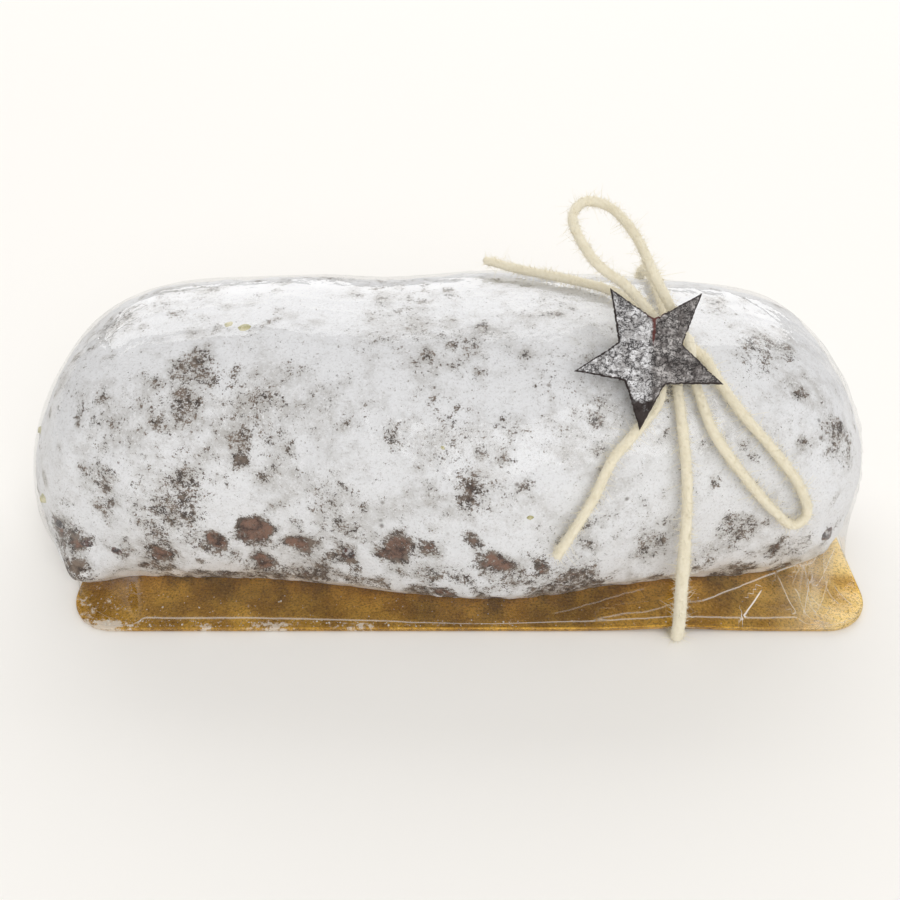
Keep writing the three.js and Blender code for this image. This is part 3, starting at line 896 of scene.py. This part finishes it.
def make_cords(felt):
    """The band, the bow's loops and tails and the knot, and the fibres on them all."""
    fibres = [], []
    for seed, (name, route) in enumerate(ROUTES.items(), 70):
        line = smooth_route(route, 0.75)
        core = CORE * np.ones(len(line))
        if name == "band":
            core = BAND_CORE + 0.24 * step(48 - line[:, 2], 0, 30)
        grid = felt_tube(line, CORD_RADIUS * core)
        if name == "band":
            grid = squash_under_card(grid)
        piece = mesh_piece(f"felt_{name}", *closed_tube(grid), felt, "felt", [f"cord_{name}"])
        if name != "band":
            path = metres(line)
        add_mesh(*fibres, fuzz_on(grid, FIBRES_PER_RING, seed))
    grid = felt_tube(smooth_route(knot_route(), 0.5), CORD_RADIUS)
    mesh_piece("felt_knot", *closed_tube(grid), felt, "felt", ["cord_knot"])
    add_mesh(*fibres, fuzz_on(grid, KNOT_FIBRES_PER_RING, 90))
    mesh_piece("felt_fibres", *fibres, felt, "felt", smooth=False)


def add_mesh(vertices, faces, more):
    """Adds more, which is vertices and faces too, to the two lists."""
    start = len(vertices)
    vertices.extend(more[0])
    faces.extend(tuple(start + i for i in face) for face in more[1])


def knot_route():
    """The cord's turns round the knot: an oval helix across it."""
    turns = 2.75
    points = []
    for share in np.linspace(0, 1, 26):
        angle = 2 * math.pi * turns * share + 0.6
        x = KNOT_CENTRE[0] + (share - 0.5) * 2 * (KNOT_RADII[0] - CORD_RADIUS - 0.4)
        y = KNOT_CENTRE[1] + (KNOT_RADII[1] - CORD_RADIUS) * math.cos(angle)
        z = KNOT_CENTRE[2] + (KNOT_RADII[2] - CORD_RADIUS) * math.sin(angle)
        points.append((x, y, z))
    return points


# ---- star ----


def make_star():
    """A five-pointed star cut from birch bark, with ragged edges and a raised seam."""
    edge = star_outline(np.random.default_rng(7))
    shares = np.concatenate([np.linspace(0, 0.96, 26), [1.0]])
    face = shares[:, None, None] * edge[None]
    grid = np.concatenate([star_surface(face, shares, 1), star_surface(face, shares, -1)[::-1]])
    wear = rim_wear(face, shares)
    raw = np.concatenate([wear, wear[::-1] + 0.35])
    flat, faces = sheet(grid, wrap=True)
    c, s = math.cos(STAR_LEAN), math.sin(STAR_LEAN)
    lean = np.array([[1, 0, 0], [0, c, -s], [0, s, c]])
    placed = flat @ lean.T + np.array(STAR_CENTRE)
    piece = mesh_piece("birch_star", placed, faces, bark_material(), "bark", ["bark_star"])
    paint(piece, "raw", raw.ravel())
    paint(piece, "side", step(across_seam(flat), -1.2, 1.2))
    paint(piece, "seam", gauss(across_seam(flat) - STAR_SEAM_X, 2.2) * step(flat[:, 1], -1, 3))


def across_seam(points):
    """How far points of the star's plane lie to the right of a line that slants like its seam."""
    return points[..., 0] - STAR_SEAM_SLANT * points[..., 1]


# How far each corner of the cut star strays from a true one, tip and notch by turns, in millimetres.
STAR_STRAY = [(1.1, 1.2), (0.2, 0.1), (-0.1, 0.9), (0, -0.4), (-1.3, 0.2), (-1.4, 0), (-2.4, -0.5),
              (-1.6, -0.2), (0.2, -0.8), (-1.0, 0.2)]


def star_outline(rng):
    """The star's outline with small nicks, as points in its own plane."""
    corners = []
    for i, stray in enumerate(STAR_STRAY):
        turn = STAR_FIRST_TIP + math.pi / 5 * i
        radius = STAR_RADIUS * (0.98 if i % 2 == 0 else STAR_NOTCH)
        corners.append(radius * np.array([math.cos(turn), math.sin(turn)]) + stray)
    points = []
    for start, end in zip(corners, corners[1:] + corners[:1]):
        for share in np.linspace(0, 1, 30, endpoint=False):
            spot = start + share * (end - start)
            nick = 0.28 * rng.normal() * min(1, 6 * share, 6 * (1 - share) + 0.2)
            points.append(spot * (1 - abs(nick) / np.linalg.norm(spot)))
    return np.array(points)


def star_surface(grid, shares, side):
    """One face of the star with its relief: the upper, with the seam, where side is 1, or the lower, -1."""
    half = STAR_THICKNESS / 2
    points = np.concatenate([grid, np.zeros(grid.shape[:2] + (1,))], axis=2)
    relief = 0.16 * fractal(points, 3.2, 3, 80 + side) + 0.1 * noise(points * [0.4, 1.6, 1], 1.8, 84)
    seam = 0.3 * gauss(across_seam(points) - STAR_SEAM_X, 0.7)
    rounding = 0.35 * step(shares, 0.93, 1.0)[:, None]
    height = half - 0.3 + (relief + (seam if side > 0 else 0)) * (1 - 0.6 * rounding) - rounding
    points[..., 2] = side * np.clip(height, 0.25, half)
    return points


def rim_wear(grid, shares):
    """How far the bark's brown inside shows: at the rim, the seam and the lowest tips."""
    rim = 0.8 * step(shares, 0.9, 0.97)[:, None] * np.ones(grid.shape[:2])
    seam = 0.74 * gauss(across_seam(grid) - STAR_SEAM_X, 0.7 + 0.6 * step(grid[..., 1], 2, 9))
    seam = seam * step(grid[..., 1], -9, 6)
    tip = 0.8 * step(-grid[..., 1], 9, 15)
    return np.maximum.reduce([rim, seam, tip])


# ---- fruit, nuts and crumbs ----


def lump(rng, centre, size, squash):
    """A small rounded, dented lump: vertices and faces."""
    axes = size * np.array([1.0, rng.uniform(0.7, 1.0), squash])
    spin = rng.uniform(0, 2 * math.pi)
    shift = rng.uniform(0, 50, 3)
    up = np.linspace(0, math.pi, 9)[:, None]
    turn = np.linspace(0, 2 * math.pi, 12, endpoint=False)
    ball = np.stack([np.sin(up) * np.cos(turn), np.sin(up) * np.sin(turn), np.cos(up) + 0 * turn], axis=-1)
    x, y, z = np.moveaxis(ball * axes * (1 + 0.22 * noise(ball * 2 + shift, 1.0, 3))[..., None], -1, 0)
    c, s = math.cos(spin), math.sin(spin)
    return sheet(np.array(centre) + np.stack([x * c - y * s, x * s + y * c, z], axis=-1), wrap=True)


def make_scattered(name, spots, material, slot, squash, seed):
    """One piece of many lumps, each given by its centre and size."""
    rng = np.random.default_rng(seed)
    vertices, faces = [], []
    for centre, size in spots:
        add_mesh(vertices, faces, lump(rng, centre, size, squash))
    mesh_piece(name, vertices, faces, material, slot)


def on_loaf(x, turn, sunk):
    """The point at x and turn, in degrees, that lies sunk millimetres inside the film."""
    turn = np.clip(math.radians(turn), 0.01, math.pi - 0.01)
    spot = arch_point(x, turn)
    along = arch_point(x + 0.1, turn) - arch_point(x - 0.1, turn)
    across = arch_point(x, turn + 0.005) - arch_point(x, turn - 0.005)
    inward = np.cross(across, along)
    inward *= np.sign(inward @ (np.array([0.5 * x, 0, 30]) - spot))
    return spot + inward / np.linalg.norm(inward) * sunk


def make_toppings():
    """Raisins and nuts in the crust, each by its x, turn in degrees and size, and sugar on the card."""
    raisins = [(-114, 1, 3.6), (-124, 4, 3.0), (123, 0, 3.4), (-104, 0, 2.8), (-30, 3, 2.6), (60, 172, 3.4),
               (-20, 176, 3.2), (-85, 170, 3.4), (15, 168, 3), (100, 178, 3.2)]
    spots = [(on_loaf(x, turn, 1.3 + 0.55 * size), size) for x, turn, size in raisins]
    make_scattered("raisins", spots, fruit_material(), "crust", 0.8, 101)
    nuts = [(-62, 83, 3.0), (-67, 85, 2.2), (-1, 41, 1.2), (25, 19, 1.2), (-131, 12, 2.2), (-134, 55, 2),
            (-45, 130, 2), (66, 140, 1.8)]
    spots = [(on_loaf(x, turn, 1.35 + 0.5 * size), size) for x, turn, size in nuts]
    make_scattered("nuts", spots, nut_material(), "crust", 0.6, 102)
    rng = np.random.default_rng(103)
    crumbs = []
    for _ in range(CRUMB_COUNT):
        x = -112 + 235 * rng.beta(0.9, 2.2)
        from_front = rng.uniform(0.6, 3.2) if rng.random() < 0.7 else rng.uniform(3, 14)
        y = CARD_Y - CARD_DEPTH / 2 + from_front
        size = rng.uniform(0.08, 0.24) * (2 if rng.random() < 0.06 else 1)
        crumbs.append(((x, y, card_top(x) + 0.3 * size), size))
    make_scattered("sugar_crumbs", crumbs, crumb_material(), "sugar", 0.6, 104)


# ---- camera, floor and light ----


def make_camera():
    """The camera: 40 degrees above the table, square to the loaf's front."""
    data = bpy.data.cameras.new("camera")
    data.sensor_width = CAMERA_SENSOR
    data.lens = CAMERA_LENS
    camera = new_object("camera", data)
    camera.location = metres(CAMERA_PLACE)
    camera.rotation_euler = (math.radians(CAMERA_PITCH), 0, 0)
    bpy.context.scene.camera = camera


def make_floor():
    bpy.ops.mesh.primitive_plane_add(size=16, location=(0, 0, -0.0004))
    floor = bpy.context.object
    floor.name = "floor"
    n = Nodes("pale_floor")
    floor.data.materials.append(n.finish((249, 247, 243), 0.9, Specular_IOR_Level=0.1))


def area_light(name, place, target, size, energy):
    """A rectangular light at place, facing target."""
    data = bpy.data.lights.new(name, "AREA")
    data.shape = "RECTANGLE"
    data.size, data.size_y = size
    data.energy = energy
    light = new_object(name, data)
    light.location = place
    light.rotation_euler = (Vector(target) - Vector(place)).to_track_quat("-Z", "Y").to_euler()


def make_lights():
    """A pale studio, lit by a large softbox behind and a smaller one in front."""
    world = bpy.data.worlds.new("studio")
    world.use_nodes = True
    background = world.node_tree.nodes["Background"]
    background.inputs["Color"].default_value = linear((254, 252, 250))
    background.inputs["Strength"].default_value = WORLD_STRENGTH
    bpy.context.scene.world = world
    for softbox in SOFTBOXES:
        area_light(*softbox)
    bpy.context.scene.view_settings.view_transform = "Standard"


make_camera()
make_cords(felt_material())
make_card()
make_loaf()
make_film()
make_star()
make_toppings()
make_floor()
make_lights()
